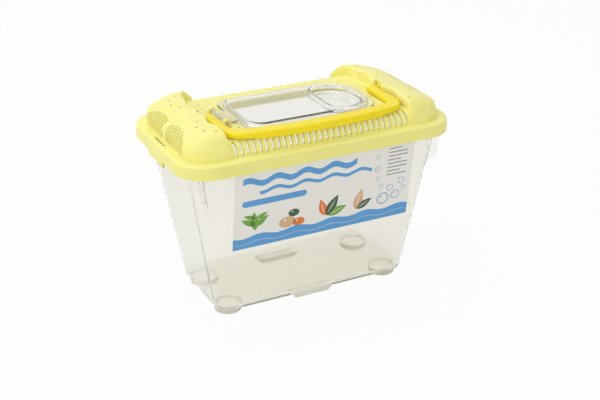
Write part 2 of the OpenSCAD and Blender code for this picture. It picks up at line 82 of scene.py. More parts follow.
PLATE_Z, LEDGE_Z, SKIRT_Z, DECK_Z, CREST_Z = 119.1, 120.9, 111.9, 129.8, 136.6
PIVOT_Z, HINGE_Z, RIM_Z = 132.0, 132.0, 114.1
LID_L, LID_W, LID_R = 198.0, 111.0, 22.5
DOME_Y, HUMP_Y, HUMP_TIP = 47.9, 48.4, 92.2
HANDLE_L, ARM_IN, SOCKET_X, PIVOT_END = 129.6, 57.8, 68.1, 71.4
HINGE_X, HATCH_X0, HATCH_X1, DISH_X = -54.6, -46.5, 53.6, 31.1
PIVOT_HOLE = PIVOT_R + PIN_GAP
LEAN = math.atan2((WALL_W - BASE_W) / 2, RIM_Z - FOOT_H)


# ---- solids: each is a list of points in millimetres and a list of faces ----

def arc(x, y, r, a, b, n):
    """Points of a circle's arc about (x, y), from angle a to b in degrees."""
    turns = [math.radians(a + (b - a) * i / n) for i in range(n + 1)]
    return [(x + r * math.cos(t), y + r * math.sin(t)) for t in turns]


def circle(x, y, r, n=48):
    """Outline of a circle about (x, y), as n points."""
    return arc(x, y, r, 0, 360 - 360 / n, n - 1)


def round_rect(l, w, r, n=CORNER, x=0.0, y=0.0):
    """Outline of a rectangle with rounded corners about (x, y), anticlockwise."""
    points = []
    for q, (sx, sy) in enumerate([(1, 1), (-1, 1), (-1, -1), (1, -1)]):
        points += arc(x + sx * (l / 2 - r), y + sy * (w / 2 - r), r, q * 90, q * 90 + 90, n)
    return points


def ring(l, w, r, z):
    return [(x, y, z) for x, y in round_rect(l, w, r)]


def loft(rings):
    """Closed solid between rings of equally many points."""
    n, last = len(rings[0]), (len(rings) - 1) * len(rings[0])
    faces = []
    for k in range(0, last, n):
        for i in range(n):
            j = (i + 1) % n
            faces.append([k + i, k + j, k + n + j, k + n + i])
    faces += [list(range(n - 1, -1, -1)), list(range(last, last + n))]
    return [p for r in rings for p in r], faces


def prism(outline, low, high, place=lambda u, v, h: (u, v, h)):
    """Upright solid on an outline, moved by place(u, v, height)."""
    return loft([[place(u, v, h) for u, v in outline] for h in (low, high)])


def box(x0, x1, y0, y1, z0, z1):
    return prism([(x0, y0), (x1, y0), (x1, y1), (x0, y1)], z0, z1)


def upright(x, y, r, z0, z1, n=24):
    return prism(circle(x, y, r, n), z0, z1)


def rod(axis, start, end, r, at, n=32, chamfer=0.0):
    """Cylinder along X or Y between start and end, about the point at of the other two."""
    cuts = [(start, r - chamfer), (start + chamfer, r), (end - chamfer, r), (end, r - chamfer)]
    rings = []
    for h, size in cuts if chamfer else cuts[1:3]:
        rings.append([(h, u, v) if axis == "X" else (u, h, v)
                      for u, v in circle(at[0], at[1], size, n)])
    return loft(rings)


def flip(solid, axis):
    """The solid mirrored in X (0) or Y (1)."""
    points = [tuple(-c if i == axis else c for i, c in enumerate(p)) for p in solid[0]]
    return points, [f[::-1] for f in solid[1]]


def pair(solids, axis):
    return solids + [flip(s, axis) for s in solids]


def make(name, solids):
    """One mesh object of these solids, in metres, with its faces turned outwards."""
    points, faces = [], []
    for p, f in solids:
        faces += [[i + len(points) for i in face] for face in f]
        points += [Vector(q) * MM for q in p]
    mesh = bpy.data.meshes.new(name)
    mesh.from_pydata(points, [], faces)
    work = bmesh.new()
    work.from_mesh(mesh)
    bmesh.ops.recalc_face_normals(work, faces=work.faces)
    work.to_mesh(mesh)
    work.free()
    obj = bpy.data.objects.new(name, mesh)
    bpy.context.scene.collection.objects.link(obj)
    return obj


def combine(obj, solids, operation):
    """obj joined with, or cut by, solids that don't touch each other."""
    tool = make("tool", solids)
    step = obj.modifiers.new("step", "BOOLEAN")
    step.operation, step.object, step.solver = operation, tool, "EXACT"
    bpy.context.view_layer.update()
    shaped = bpy.data.meshes.new_from_object(
        obj.evaluated_get(bpy.context.evaluated_depsgraph_get()))
    obj.modifiers.clear()
    old, obj.data = obj.data, shaped
    bpy.data.meshes.remove(old)
    old = tool.data
    bpy.data.objects.remove(tool)
    bpy.data.meshes.remove(old)


def finish_piece(obj, body, node, materials, angle=30):
    """Smooth shading, materials, and the piece's place in the frame."""
    work = bmesh.new()
    work.from_mesh(obj.data)
    bmesh.ops.remove_doubles(work, verts=work.verts, dist=WELD * MM)
    bmesh.ops.dissolve_degenerate(work, edges=work.edges, dist=WELD * MM)
    work.to_mesh(obj.data)
    work.free()
    obj.data.shade_smooth()
    obj.data.set_sharp_from_angle(angle=math.radians(angle))
    weigh = obj.modifiers.new("weighted_normals", "WEIGHTED_NORMAL")
    weigh.keep_sharp = True
    for material in materials:
        obj.data.materials.append(material)
    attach(obj, body)
    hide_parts(node)


# ---- materials ----

def srgb(r, g, b):
    """Linear colour of an 8-bit screen colour."""
    return tuple(c / 255 / 12.92 if c < 11 else ((c / 255 + 0.055) / 1.055) ** 2.4
                 for c in (r, g, b)) + (1.0,)


class Nodes:
    """A material's nodes, made in the order in which they are linked."""

    def __init__(self, name):
        self.material = bpy.data.materials.new(name)
        self.material.use_nodes = True
        self.tree = self.material.node_tree
        self.shader = self.tree.nodes["Principled BSDF"]
        self.place = self.tree.nodes.new("ShaderNodeTexCoord").outputs["Object"]

    def add(self, kind, inputs=(), **settings):
        node = self.tree.nodes.new(kind)
        for key, value in settings.items():
            setattr(node, key, value)
        for key, value in dict(inputs).items():
            if isinstance(value, bpy.types.NodeSocket):
                self.tree.links.new(value, node.inputs[key])
            else:
                node.inputs[key].default_value = value
        return node

    def noise(self, scale, detail=3.0, distortion=0.0):
        return self.add("ShaderNodeTexNoise", {"Vector": self.place, "Scale": scale,
                        "Detail": detail, "Distortion": distortion}).outputs["Fac"]

    def spread(self, value, low, high):
        """A noise's middle range spread from low to high."""
        return self.add("ShaderNodeMapRange", {"Value": value, "From Min": 0.3,
                        "From Max": 0.7, "To Min": low, "To Max": high}).outputs["Result"]

    def blend(self, factor, a, b):
        node = self.add("ShaderNodeMix", data_type="RGBA")
        self.tree.links.new(factor, node.inputs[0])
        for socket, colour in ((node.inputs[6], a), (node.inputs[7], b)):
            if isinstance(colour, bpy.types.NodeSocket):
                self.tree.links.new(colour, socket)
            else:
                socket.default_value = colour
        return node.outputs[2]

    def bump(self, height, strength, distance, normal=None):
        inputs = {"Height": height, "Strength": strength, "Distance": distance}
        if normal:
            inputs["Normal"] = normal
        return self.add("ShaderNodeBump", inputs).outputs["Normal"]

    def wire(self, **links):
        for key, value in links.items():
            self.tree.links.new(value, self.shader.inputs[key.replace("_", " ")])

    def fix(self, values):
        for key, value in values.items():
            self.shader.inputs[key].default_value = value


def moulded(name, light, deep, rough, edge, gloss, glow, reach=2.5):
    """Opaque moulded plastic: soft edges, faint flow mottling and a fine satin grain."""
    n = Nodes(name)
    flow = n.noise(38.0, 4.0, 0.6)
    speck = n.noise(900.0, 2.0)
    tint = n.blend(n.spread(flow, 0.0, 1.0), light, deep)
    dust = n.blend(n.spread(speck, 0.0, 0.05), tint, deep)
    corner = n.add("ShaderNodeBevel", {"Radius": edge * MM}, samples=6).outputs["Normal"]
    grain = n.bump(n.noise(1800.0, 2.0), 0.05, 0.00003, corner)
    wave = n.bump(n.noise(60.0, 2.0), 0.05, 0.0002, grain)
    n.wire(Base_Color=dust, Roughness=n.spread(n.noise(420.0), rough[0], rough[1]), Normal=wave)
    n.fix({"IOR": 1.46, "Specular IOR Level": gloss, "Subsurface Weight": glow,
           "Subsurface Radius": (1.0, 0.8, 0.3), "Subsurface Scale": reach * MM})
    return n.material


def clear(name, light, deep, rough, edge, see, bend):
    """Clear moulded plastic: a faint milky tint, slight waviness and fine scuffs."""
    n = Nodes(name)
    tint = n.blend(n.spread(n.noise(24.0, 3.0, 0.4), 0.0, 1.0), light, deep)
    scuff = n.noise(700.0, 5.0, 1.5)
    corner = n.add("ShaderNodeBevel", {"Radius": edge * MM}, samples=6).outputs["Normal"]
    wave = n.bump(n.noise(30.0, 2.0), 0.10, 0.0006, corner)
    n.wire(Base_Color=tint, Roughness=n.spread(scuff, rough[0], rough[1]), Normal=wave)
    n.fix({"Transmission Weight": see, "IOR": bend, "Specular IOR Level": 0.5})
    return n.material


def print_ink(name, colour, deep):
    """Printed film: a fine ink mottle under a satin finish."""
    n = Nodes(name)
    tint = n.blend(n.spread(n.noise(1500.0, 3.0), 0.0, 0.5), colour, deep)
    n.wire(Base_Color=n.blend(n.spread(n.noise(30.0), 0.0, 0.6), tint, colour),
           Roughness=n.spread(n.noise(300.0), 0.34, 0.46),
           Normal=n.bump(n.noise(60.0, 2.0), 0.08, 0.0004))
    n.fix({"IOR": 1.45})
    return n.material


def white_floor():
    """Pale floor: white to the camera and in gloss, with part of the object's shadow left."""
    n = Nodes("floor")
    path = n.add("ShaderNodeLightPath").outputs
    seen = n.add("ShaderNodeMath", {0: path["Is Camera Ray"], 1: 0.94},
                 operation="MULTIPLY").outputs[0]
    mirrored = n.add("ShaderNodeMath", {0: path["Is Glossy Ray"],
                     1: path["Is Transmission Ray"]}, operation="MAXIMUM").outputs[0]
    mirrored = n.add("ShaderNodeMath", {0: mirrored, 1: 0.82}, operation="MULTIPLY").outputs[0]
    share = n.add("ShaderNodeMath", {0: seen, 1: mirrored}, operation="MAXIMUM").outputs[0]
    paper = n.spread(n.noise(3.0), 0.0, 1.0)
    n.wire(Base_Color=n.blend(paper, (0.90, 0.89, 0.83, 1), (0.88, 0.87, 0.81, 1)))
    n.fix({"Roughness": 0.9, "Specular IOR Level": 0.1})
    white = n.add("ShaderNodeEmission", {"Color": (1, 1, 1, 1), "Strength": 1.0}).outputs[0]
    mix = n.add("ShaderNodeMixShader", {0: share})
    n.tree.links.new(n.shader.outputs[0], mix.inputs[1])
    n.tree.links.new(white, mix.inputs[2])
    n.tree.links.new(mix.outputs[0], n.tree.nodes["Material Output"].inputs["Surface"])
    return n.material


LEMON = moulded("lemon_plastic", srgb(254, 245, 153), srgb(251, 241, 144),
                (0.36, 0.44), 0.45, 0.45, 0.5)
# painted light: a lighter, more translucent copy of the lemon for the inside of the deck and
# skirts
LEMON_PAINTED_LIGHT = moulded("lemon_painted_light", srgb(255, 250, 160), srgb(254, 247, 152),
                     (0.36, 0.44), 0.45, 0.45, 1.0, 9.0)
# painted shade: a darker copy of the lemon for the humps' hollows and the sides of their vents
LEMON_PAINTED_SHADE = moulded("lemon_painted_shade", srgb(250, 242, 112), srgb(245, 236, 104),
                       (0.36, 0.44), 0.45, 0.45, 0.2)
YELLOW = moulded("yellow_plastic", srgb(255, 234, 22), srgb(252, 228, 14),
                 (0.30, 0.34), 0.4, 0.35, 0.0)
TANK_CLEAR = clear("tank_clear_plastic", (0.975, 0.968, 0.93, 1), (0.965, 0.957, 0.915, 1),
                   (0.05, 0.14), 0.4, 0.93, 1.24)
BASE_CLEAR = clear("base_clear_plastic", (0.985, 0.972, 0.89, 1), (0.97, 0.957, 0.87, 1),
                   (0.06, 0.14), 0.4, 0.82, 1.22)
FOOT_CLEAR = clear("foot_clear_plastic", (0.985, 0.972, 0.89, 1), (0.97, 0.957, 0.87, 1),
                   (0.10, 0.18), 0.4, 0.40, 1.22)
HATCH_CLEAR = clear("hatch_clear_plastic", (0.97, 0.97, 0.965, 1), (0.955, 0.955, 0.95, 1),
                    (0.02, 0.07), 0.5, 0.96, 1.34)
HINGE_CLEAR = clear("hinge_clear_plastic", (0.99, 0.97, 0.80, 1), (0.98, 0.95, 0.77, 1),
                    (0.06, 0.12), 0.4, 0.72, 1.34)

# ---- tank ----


def rise(z):
    return (z - FOOT_H) / (RIM_Z - FOOT_H)


def tank_ring(z, grow):
    t = rise(z)
    return ring(BASE_L + (WALL_L - BASE_L) * t + 2 * grow,
                BASE_W + (WALL_W - BASE_W) * t + 2 * grow,
                BASE_R + (MOUTH_R - BASE_R) * t + grow, z)


def mouth_ring(z, grow):
    return ring(MOUTH_L + 2 * grow, MOUTH_W + 2 * grow, MOUTH_R + grow, z)


def tank_base(inset, z0):
    """Rings of the rounding at the underside, up to where the wall is straight."""
    turns = [math.radians(a) for a in range(0, 91, 10)]
    return [tank_ring(z0 + BASE_ROUND * (1 - math.cos(a)),
                      -inset - BASE_ROUND * (1 - math.sin(a))) for a in turns]


def foot():
    x, y = BASE_L / 2 - FOOT_END - FOOT_R, BASE_W / 2 - FOOT_SIDE - FOOT_R
    # how far the foot is drawn in at each height, around its rounded lower edge
    sizes = [(1.0, 0.0), (0.3, 0.25), (0.0, 1.0), (0.0, FOOT_H + EPS)]
    return loft([[(u, v, z) for u, v in circle(x, y, FOOT_R - d)] for d, z in sizes])


def pad():
    y = BASE_W / 2 - BASE_ROUND - PAD_W / 2
    corner_r, steps = 1.5, 6
    # how much longer the pad is at each height, from its rounded lower edge upwards
    sizes = [(-1.2, 0.0), (-0.3, 0.3), (0.0, 1.0), (PAD_TOP_L - PAD_L, FOOT_H + EPS)]
    return loft([[(u, v, z) for u, v in
                  round_rect(PAD_L + d, PAD_W + min(d, 0), corner_r, steps, 0, y)]
                 for d, z in sizes])


def lug():
    """Thin fin on a corner's diagonal, following the wall down from the rim."""
    corner = MOUTH_R * (1 - math.cos(math.radians(45)))
    fall = (math.tan(LEAN) * math.sqrt(2)
            - (MOUTH_R - BASE_R) / (RIM_Z - FOOT_H) * (math.sqrt(2) - 1))
    foot_z, drop, inside = LUG_Z - LUG_SLOPE, (RIM_Z - LUG_Z) * fall, 3 * LUG_OUT
    outline = [(-inside, foot_z), ((foot_z - RIM_Z) * fall, foot_z),
               (LUG_OUT * LUG_STEP - drop, LUG_Z), (LUG_OUT - drop, LUG_Z),
               (LUG_OUT, RIM_Z - EPS), (-inside, RIM_Z - EPS)]
    x, y, c = WALL_L / 2 - corner, WALL_W / 2 - corner, math.sqrt(0.5)
    return prism(outline, -LUG_T / 2, LUG_T / 2,
                 lambda u, v, h: (x + c * (u - h), y + c * (u + h), v))


def make_tank():
    edge = 0.35
    outside = tank_base(0, FOOT_H) + [
        tank_ring(RIM_Z - RIM_OUT, 0), mouth_ring(RIM_Z, RIM_OUT),
        mouth_ring(TANK_H - edge, RIM_OUT), mouth_ring(TANK_H, RIM_OUT - edge)]
    inside = tank_base(TANK_WALL, FOOT_H + TANK_WALL) + [
        tank_ring(RIM_Z, -TANK_WALL), mouth_ring(RIM_Z + TANK_WALL, -TANK_WALL),
        mouth_ring(TANK_H + EPS, -TANK_WALL)]
    tank = make("tank_shell", [loft(outside)])
    combine(tank, pair(pair([lug(), foot()], 0), 1), "UNION")
    combine(tank, pair([pad()], 1), "UNION")
    combine(tank, [loft(inside)], "DIFFERENCE")
    finish_piece(tank, "tank", "tank", [TANK_CLEAR, BASE_CLEAR, FOOT_CLEAR])
    # the thicker floor and the feet are milkier, and the sides of the feet most of all
    for face in tank.data.polygons:
        if face.center.z < (FOOT_H + 2 * TANK_WALL) * MM:
            side = abs(face.normal.z) < 0.6 and face.center.z < FOOT_H * MM
            face.material_index = 2 if side else 1


# ---- label: a plain ground with waves, leaves, pebbles and bubbles ----

def on_wall(u, v, h):
    """Place on the sloping front wall: u to the right, v up it, h out of it."""
    y0 = -(BASE_W + (WALL_W - BASE_W) * rise(LABEL_Z)) / 2
    s, c = math.sin(LEAN), math.cos(LEAN)
    return (LABEL_X + u, y0 - v * s - h * c, LABEL_Z + v * c - h * s)


def wave_strip(u0, u1, v, thick, swing, length, base=None):
    """Band with a waved top, and a waved or (with base) a straight lower edge."""
    step = 1.5
    steps = int((u1 - u0) / step)
    us = [u0 + (u1 - u0) * i / steps for i in range(steps + 1)]
    crest = [(u, v + swing * math.sin(2 * math.pi * u / length)) for u in us]
    if base is None:
        under = [(u, w - thick) for u, w in crest]
    else:
        under = [(u0, base), (u1, base)]
    return under + crest[::-1]


def leaf(u, v, length, width, turn):
    """Pointed leaf from its stem at (u, v), turned by turn degrees."""
    steps, belly = 12, 0.8  # a belly under 1 puts the widest place nearer to the stem
    half = [(length * t / steps, width / 2 * math.sin(math.pi * (t / steps) ** belly))
            for t in range(steps + 1)]
    outline = [(a, -b) for a, b in half] + half[-2:0:-1]
    c, s = math.cos(math.radians(turn)), math.sin(math.radians(turn))
    return [(u + a * c - b * s, v + a * s + b * c) for a, b in outline]


def disc(u, v, r, squash=1.0):
    return [(a, v + (b - v) * squash) for a, b in circle(u, v, r)]


def make_label():
    inks = {
        "ground": (srgb(244, 242, 238), srgb(239, 237, 232)),
        "blue": (srgb(94, 163, 222), srgb(82, 151, 213)),
        "pale_blue": (srgb(150, 190, 222), srgb(140, 182, 216)),
        "green": (srgb(120, 172, 72), srgb(100, 152, 60)),
        "deep_green": (srgb(66, 96, 66), srgb(52, 82, 54)),
        "orange": (srgb(232, 128, 62), srgb(220, 108, 48)),
        "sand": (srgb(222, 184, 140), srgb(206, 166, 122)),
        "grey": (srgb(128, 136, 156), srgb(112, 120, 142)),
    }
    height = (LABEL_TOP - LABEL_Z) / math.cos(LEAN)
    art = {ink: [] for ink in inks}
    ground = round_rect(LABEL_L, height, LABEL_R, 8, 0, height / 2)
    film_low, film_top, print_low, layer = 0.03, 0.2, 0.17, 0.02  # heights above the wall
    art["ground"].append((ground, film_low, film_top))

    def add(ink, outline, level=0):
        art[ink].append((outline, print_low, LABEL_T - 2 * layer + layer * level))

    # water along the lower edge, and two waves above
    add("blue", wave_strip(-65.5, 65.5, 9.0, 0, 1.1, 26.2, base=0.25))
    add("pale_blue", wave_strip(-63.5, 63.5, 4.6, 0.9, 0.9, 26.2), 1)
    add("blue", wave_strip(-60, 22, 52.5, 4.4, 1.7, 20.5))
    add("blue", wave_strip(-48, 34, 44.0, 2.6, 1.3, 20.5))
    # a plain bar
    add("blue", round_rect(46, 4.6, 2.25, 8, -37, 34.5))
    # a leafy sprig
    sprig = [(-50, 13, 15, 96), (-50, 16, 12, 40), (-50, 17, 12, 150), (-49.6, 22, 9, 25),
             (-50.4, 22.5, 9, 160)]
    for k, (u, v, size, turn) in enumerate(sprig):
        add("green", leaf(u, v, size, size * 0.36, turn), k % 2)
    # pebbles
    for u, v, r, ink in [(-27, 14.2, 6.0, "sand"), (-18.5, 12.8, 4.4, "orange"),
                         (-22.5, 20.6, 4.0, "deep_green")]:
        add(ink, disc(u, v, r, 0.72))
        add("ground", disc(u - r * 0.3, v + r * 0.28, r * 0.16, 0.72), 1)
    # broad leaves
    for u, v, size, turn, ink in [(2, 12.5, 17, 62, "deep_green"), (3, 12.5, 15, 20, "green"),
                                  (1, 13, 14, 108, "orange"), (24, 12.5, 16, 75, "sand"),
                                  (25, 12.5, 13, 30, "deep_green")]:
        add(ink, leaf(u, v, size, size * 0.42, turn))
        c, s = math.cos(math.radians(turn)), math.sin(math.radians(turn))
        add("ground", leaf(u + 1.5 * c, v + 1.5 * s, size - 4, 0.5, turn), 1)
    # bubbles that rise at the right
    for u, v, r in [(45, 16.5, 4.6), (54.5, 18, 3.4), (60.5, 22.5, 1.8), (49.8, 24.4, 2.6),
                    (58, 28.5, 2.6), (42.6, 26.5, 2.0), (39.4, 33, 1.6), (38.6, 41, 2.2),
                    (38.2, 50.5, 1.6)]:
        add("pale_blue", disc(u, v, r))
        add("ground", disc(u, v, r * 0.78), 1)
        add("blue", disc(u - r * 0.34, v + r * 0.34, r * 0.14), 2)
    # plain marks in a column
    marks, mark_u, mark_v, mark_pitch = 8, 46, 55.0, 2.9
    for k in range(marks):
        length = 15.0 if k % 3 else 10.0
        add("grey", round_rect(length, 0.7, 0.3, 4, mark_u + length / 2,
                               mark_v - mark_pitch * k), 1)
    names = list(inks)
    solids = [(names.index(ink), prism(outline, low, high, on_wall))
              for ink in names for outline, low, high in art[ink]]
    label = make("label_film", [s for _, s in solids])
    kinds = [ink for ink, s in solids for _ in s[1]]
    for face, ink in zip(label.data.polygons, kinds):
        face.material_index = ink
    for ink, (colour, deep) in inks.items():
        label.data.materials.append(print_ink("label_" + ink, colour, deep))
    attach(label, "tank")
    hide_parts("label")


# ---- lid ----

def skirt_form():
    edge_in, edge_up = 0.25, 0.35
    rim = [ring(LID_L - 2 * edge_in, LID_W - 2 * edge_in, LID_R - edge_in, SKIRT_Z),
           ring(LID_L, LID_W, LID_R, SKIRT_Z + edge_up)]
    for a in range(0, 91, 9):
        t = math.radians(a)
        inset = SKIRT_DRAFT + SKIRT_ROUND * (1 - math.cos(t))
        rim.append(ring(LID_L - 2 * inset, LID_W - 2 * inset, LID_R - inset,
                        LEDGE_Z - SKIRT_ROUND + SKIRT_ROUND * math.sin(t)))
    return loft(rim)


def deck_form(inset):
    w, top = DOME_Y - inset, DECK_Z - inset
    low = PLATE_Z - (EPS if inset else 0)
    r = DECK_RISE
    outline = ([(w, low)] + arc(w - r, top - r, r, 0, 90, 20)
               + arc(-w + r, top - r, r, 90, 180, 20) + [(-w, low)])
    reach = HUMP_X + SCOOP + LID_WALL
    return loft([[(x, y, z) for y, z in outline] for x in (-reach, reach)])


def hump_in(y):
    """Distance of a hump's inner wall from the middle, with its scoops and the handle's pocket."""
    t = (abs(y) - SCOOP_Y) / SCOOP_HALF
    scooped = SCOOP * math.cos(math.pi / 2 * t) ** 2 if abs(t) < 1 else 0
    r, pocket_end = HANDLE_R + 2.5 * GAP, 0.97
    d = min(max(0, y - REACH + HANDLE_R), r * pocket_end)
    return HUMP_X + scooped - (r - math.sqrt(r * r - d * d))


def hump_out(y):
    d = min(max(0, abs(y) - HUMP_Y + HUMP_CORNER_R), HUMP_CORNER_R)
    return HUMP_TIP - HUMP_CORNER_R + math.sqrt(HUMP_CORNER_R ** 2 - d * d)


def hump_section(y, fall, inset):
    """Cross-section of the right-hand hump at y; fall is 1 along it and 0 at its ends."""
    slant = 1.1  # a deeper inset at the outer wall, which runs at a slant round the corners
    x0, x1 = hump_in(y) + inset, hump_out(y) - inset * slant
    base = PLATE_Z - (EPS if inset else 0)
    r = min(HUMP_END_R, (x1 - x0) / 2 - 1)
    low = CREST_Z - HUMP_FALL - r
    tops = [(x0 + HUMP_EDGE * (1 - math.cos(a)), CREST_Z - HUMP_EDGE * (1 - math.sin(a)))
            for a in [math.pi / 2 * i / 8 for i in range(9)]]
    # a smooth crown from the inner edge to the rounding at the outer end
    xa, xb = x0 + HUMP_EDGE, x1 - r
    for t in (i / 8 for i in range(1, 8)):
        ease = 0.6 * t * t + 0.4 * t ** 3
        tops.append((xa + (xb - xa) * t, CREST_Z - HUMP_FALL * ease))
    tops += [(x1 - r * (1 - math.cos(a)), low + r * math.sin(a))
             for a in [math.pi / 2 * (1 - i / 12) for i in range(13)]]
    line = [(x, max(base + 0.2, LEDGE_Z + (z - LEDGE_Z) * fall - inset)) for x, z in tops]
    return [(x, y, z) for x, z in [(x0, base)] + line + [(x1, base)]]


def hump_form(inset):
    y1 = HUMP_Y - inset
    front, back = HUMP_FRONT_R - y1, y1 - HUMP_BACK_R
    stations = [(front - HUMP_FRONT_R * math.cos(math.radians(a)), math.sin(math.radians(a)))
                for a in range(0, 90, 6)]
    stations += [(front + (back - front) * i / 60, 1.0) for i in range(61)]
    stations += [(back + HUMP_BACK_R * math.cos(math.radians(a)), math.sin(math.radians(a)))
                 for a in range(81, -1, -9)]
    return loft([hump_section(y, fall, inset) for y, fall in stations])


def snap_tab():
    t, low = LID_WALL, SKIRT_Z - TAB_DROP
    x = LID_L / 2 - t - SKIRT_DRAFT / 4
    outline = [(x, SKIRT_Z + EPS), (x, low), (x + t * TAB_TIP, low),
               (x + t, low + TAB_CHAMFER), (x + t, SKIRT_Z + EPS)]
    return prism(outline, -TAB_L / 2, TAB_L / 2, lambda u, v, h: (u, h, v))


def hinge_ear(side):
    y = HATCH_Y + side * (TONGUE_W / 2 + GAP)
    outline = arc(HINGE_X, HINGE_Z, EAR_R, 0, 180, 24) + [
        (HINGE_X - EAR_R, DECK_Z - EPS), (HINGE_X + EAR_R, DECK_Z - EPS)]
    return prism(outline, y, y + side * EAR_T, lambda u, v, h: (u, h, v))


def front_slots():
    slots = []
    for i in range(SLOTS):
        x = (i - (SLOTS - 1) / 2) * SLOT_PITCH
        outline = round_rect(SLOT_W, SLOT_L, SLOT_R, 6, x, -DOME_Y - 1 + SLOT_L / 2)
        slots.append(prism(outline, LEDGE_Z + SLOT_LOW, DECK_Z + 1 + SLOT_LOW))
    return slots


def end_vents():
    vents = []
    for side in (-1, 1):
        for i in range(END_SLOTS):
            off = ((i - (END_SLOTS - 1) * VENT_PEAK) / END_SLOTS) ** 2
            x, y = HUMP_TIP - END_DEPTH * (0.5 - off), side * (END_FIRST + i * END_PITCH)
            vents.append(box(x, x + END_DEPTH, y - END_SLOT_W / 2, y + END_SLOT_W / 2,
                             LEDGE_Z + END_LOW,
                             LEDGE_Z + END_LOW + END_SLOT_H - END_SLOT_FALL * off))
    return vents


def lobe_holes():
    holes = []
    for side in (-1, 1):
        for t in (math.radians(a) for a in LOBE_ANGLES):
            holes.append(upright(HUMP_X - LOBE_IN + LOBE_ARC_X * math.cos(t),
                                 side * (LOBE_Y + LOBE_ARC_Y * math.sin(t)), HOLE_R,
                                 DECK_Z, CREST_Z + EPS, 16))
    return holes


def deck_holes():
    holes = []
    for i in range(HOLE_ROWS):
        for j in range(HOLE_ROWS):
            x = HOLE_X + HOLE_EDGE - HUMP_X + i * HOLE_X
            y = TONGUE_W / 2 + GAP + EAR_T + HOLE_EDGE + HOLE_Y * (j + (i % 2) / 2)
            beside = x < HATCH_X0 - 2 * HOLE_R or y > HATCH_W / 2 - 2 * HOLE_R
            if beside and y - HATCH_Y + HOLE_R < DOME_Y - DECK_RISE - HOLE_EDGE:
                holes += [upright(x, HATCH_Y + side * y, HOLE_R, DECK_Z - LID_WALL - EPS,
                                  DECK_Z + EPS, 16) for side in (-1, 1)]
    return holes


def hatch_outline(inset):
    """The hatch's outline drawn in: its right-hand corners run into a bowed end."""
    half, bow = HATCH_W / 2 - inset, HATCH_BOW - inset
    bow_x, left = HATCH_X1 - HATCH_BOW, HATCH_X0 + inset + HATCH_R
    rise = math.asin((half - HATCH_END_R) / (bow - HATCH_END_R))
    right, turn = bow_x + (bow - HATCH_END_R) * math.cos(rise), math.degrees(rise)
    top, end = HATCH_Y + half, half - HATCH_END_R
    return (arc(bow_x, HATCH_Y, bow, -turn, turn, 24)[:-1]
            + arc(right, HATCH_Y + end, HATCH_END_R, turn, 90, 20)
            + arc(left, top - HATCH_R, HATCH_R, 90, 180, CORNER)
            + arc(left, HATCH_Y - half + HATCH_R, HATCH_R, 180, 270, CORNER)
            + arc(right, HATCH_Y - end, HATCH_END_R, 270, 360 - turn, 20)[:-1])


def make_lid():
    lid = make("lid_shell", [skirt_form()])
    combine(lid, [deck_form(0)], "UNION")
    combine(lid, pair([hump_form(0)], 0), "UNION")
    combine(lid, [prism(round_rect(LID_L - 2 * LID_WALL, LID_W - 2 * LID_WALL,
                                   LID_R - LID_WALL), SKIRT_Z - EPS, PLATE_Z)], "DIFFERENCE")
    combine(lid, [deck_form(LID_WALL)], "DIFFERENCE")
    combine(lid, pair([hump_form(LID_WALL)], 0), "DIFFERENCE")
    boss = box(SOCKET_X, SOCKET_X + PIN_IN + GAP + BOSS_WALL, -BOSS_W / 2, BOSS_W / 2,
               PLATE_Z, PIVOT_Z + PIVOT_HOLE + BOSS_WALL)
    combine(lid, pair([boss, snap_tab()], 0) + [hinge_ear(-1), hinge_ear(1)], "UNION")
    slit_x = LID_L / 2 - LEDGE_X / 2 - SLIT_W
    notch = box(HUMP_X - SCOOP, SOCKET_X, -NOTCH_W / 2, NOTCH_W / 2, DECK_Z, CREST_Z + EPS)
    socket = rod("X", SOCKET_X - EPS, PIVOT_END + GAP, PIVOT_HOLE, (0, PIVOT_Z))
    slit = prism(round_rect(SLIT_W, SLIT_L, SLIT_R, 6, slit_x + SLIT_W / 2),
                 PLATE_Z - EPS, LEDGE_Z + EPS)
    reach = TONGUE_W / 2 + GAP + EAR_T / 2
    bores = [rod("Y", y - EAR_T, y + EAR_T, HATCH_PIN_R + PIN_GAP, (HINGE_X, HINGE_Z))
             for y in (HATCH_Y - reach, HATCH_Y + reach)]
    combine(lid, pair([notch, slit] + end_vents() + lobe_holes(), 0) + bores
            + front_slots() + deck_holes(), "DIFFERENCE")
    combine(lid, pair([socket], 0) + [prism(hatch_outline(LAP), DECK_Z - LID_WALL - EPS,
                                            DECK_Z + EPS)], "DIFFERENCE")
    finish_piece(lid, "lid", "lid", [LEMON, LEMON_PAINTED_SHADE, LEMON_PAINTED_LIGHT])
    # the humps' painted shade (a darker lemon) starts at hump_x and ends at hump_y, the painted
    # light (a lighter lemon) ends at shell_x
    hump_x, hump_y, shell_x = 78.0, 34.0, 70.0
    for face in lid.data.polygons:
        c, n = face.center / MM, face.normal
        # the hollows of the humps and the sides of their vents, where little light falls, get
        # painted shade: a darker lemon
        hollow = n.z < -0.1 or n.x * c.x < -0.1 * abs(c.x) or abs(n.y) > 0.98
        if hollow and abs(c.x) > hump_x and abs(c.y) < hump_y and c.z > LEDGE_Z + EPS:
            face.material_index = 1
        # the inside of the deck and of the long skirts, which light shines through, get painted
        # light: a lighter, more translucent lemon
        under = n.z < -0.3 or n.y * c.y < -0.1 * abs(c.y)
        if under and abs(c.x) < shell_x and SKIRT_Z < c.z < DECK_Z - EPS:
            face.material_index = 2


# ---- hatch ----

def obround(r, l, z):
    """Outline of the finger dish: a straight-sided shape with round ends, across the lid."""
    h = l / 2 - DISH_R
    return [(x, y, z) for x, y in arc(DISH_X, HATCH_Y + h, r, 0, 180, 32)
            + arc(DISH_X, HATCH_Y - h, r, 180, 360, 32)]


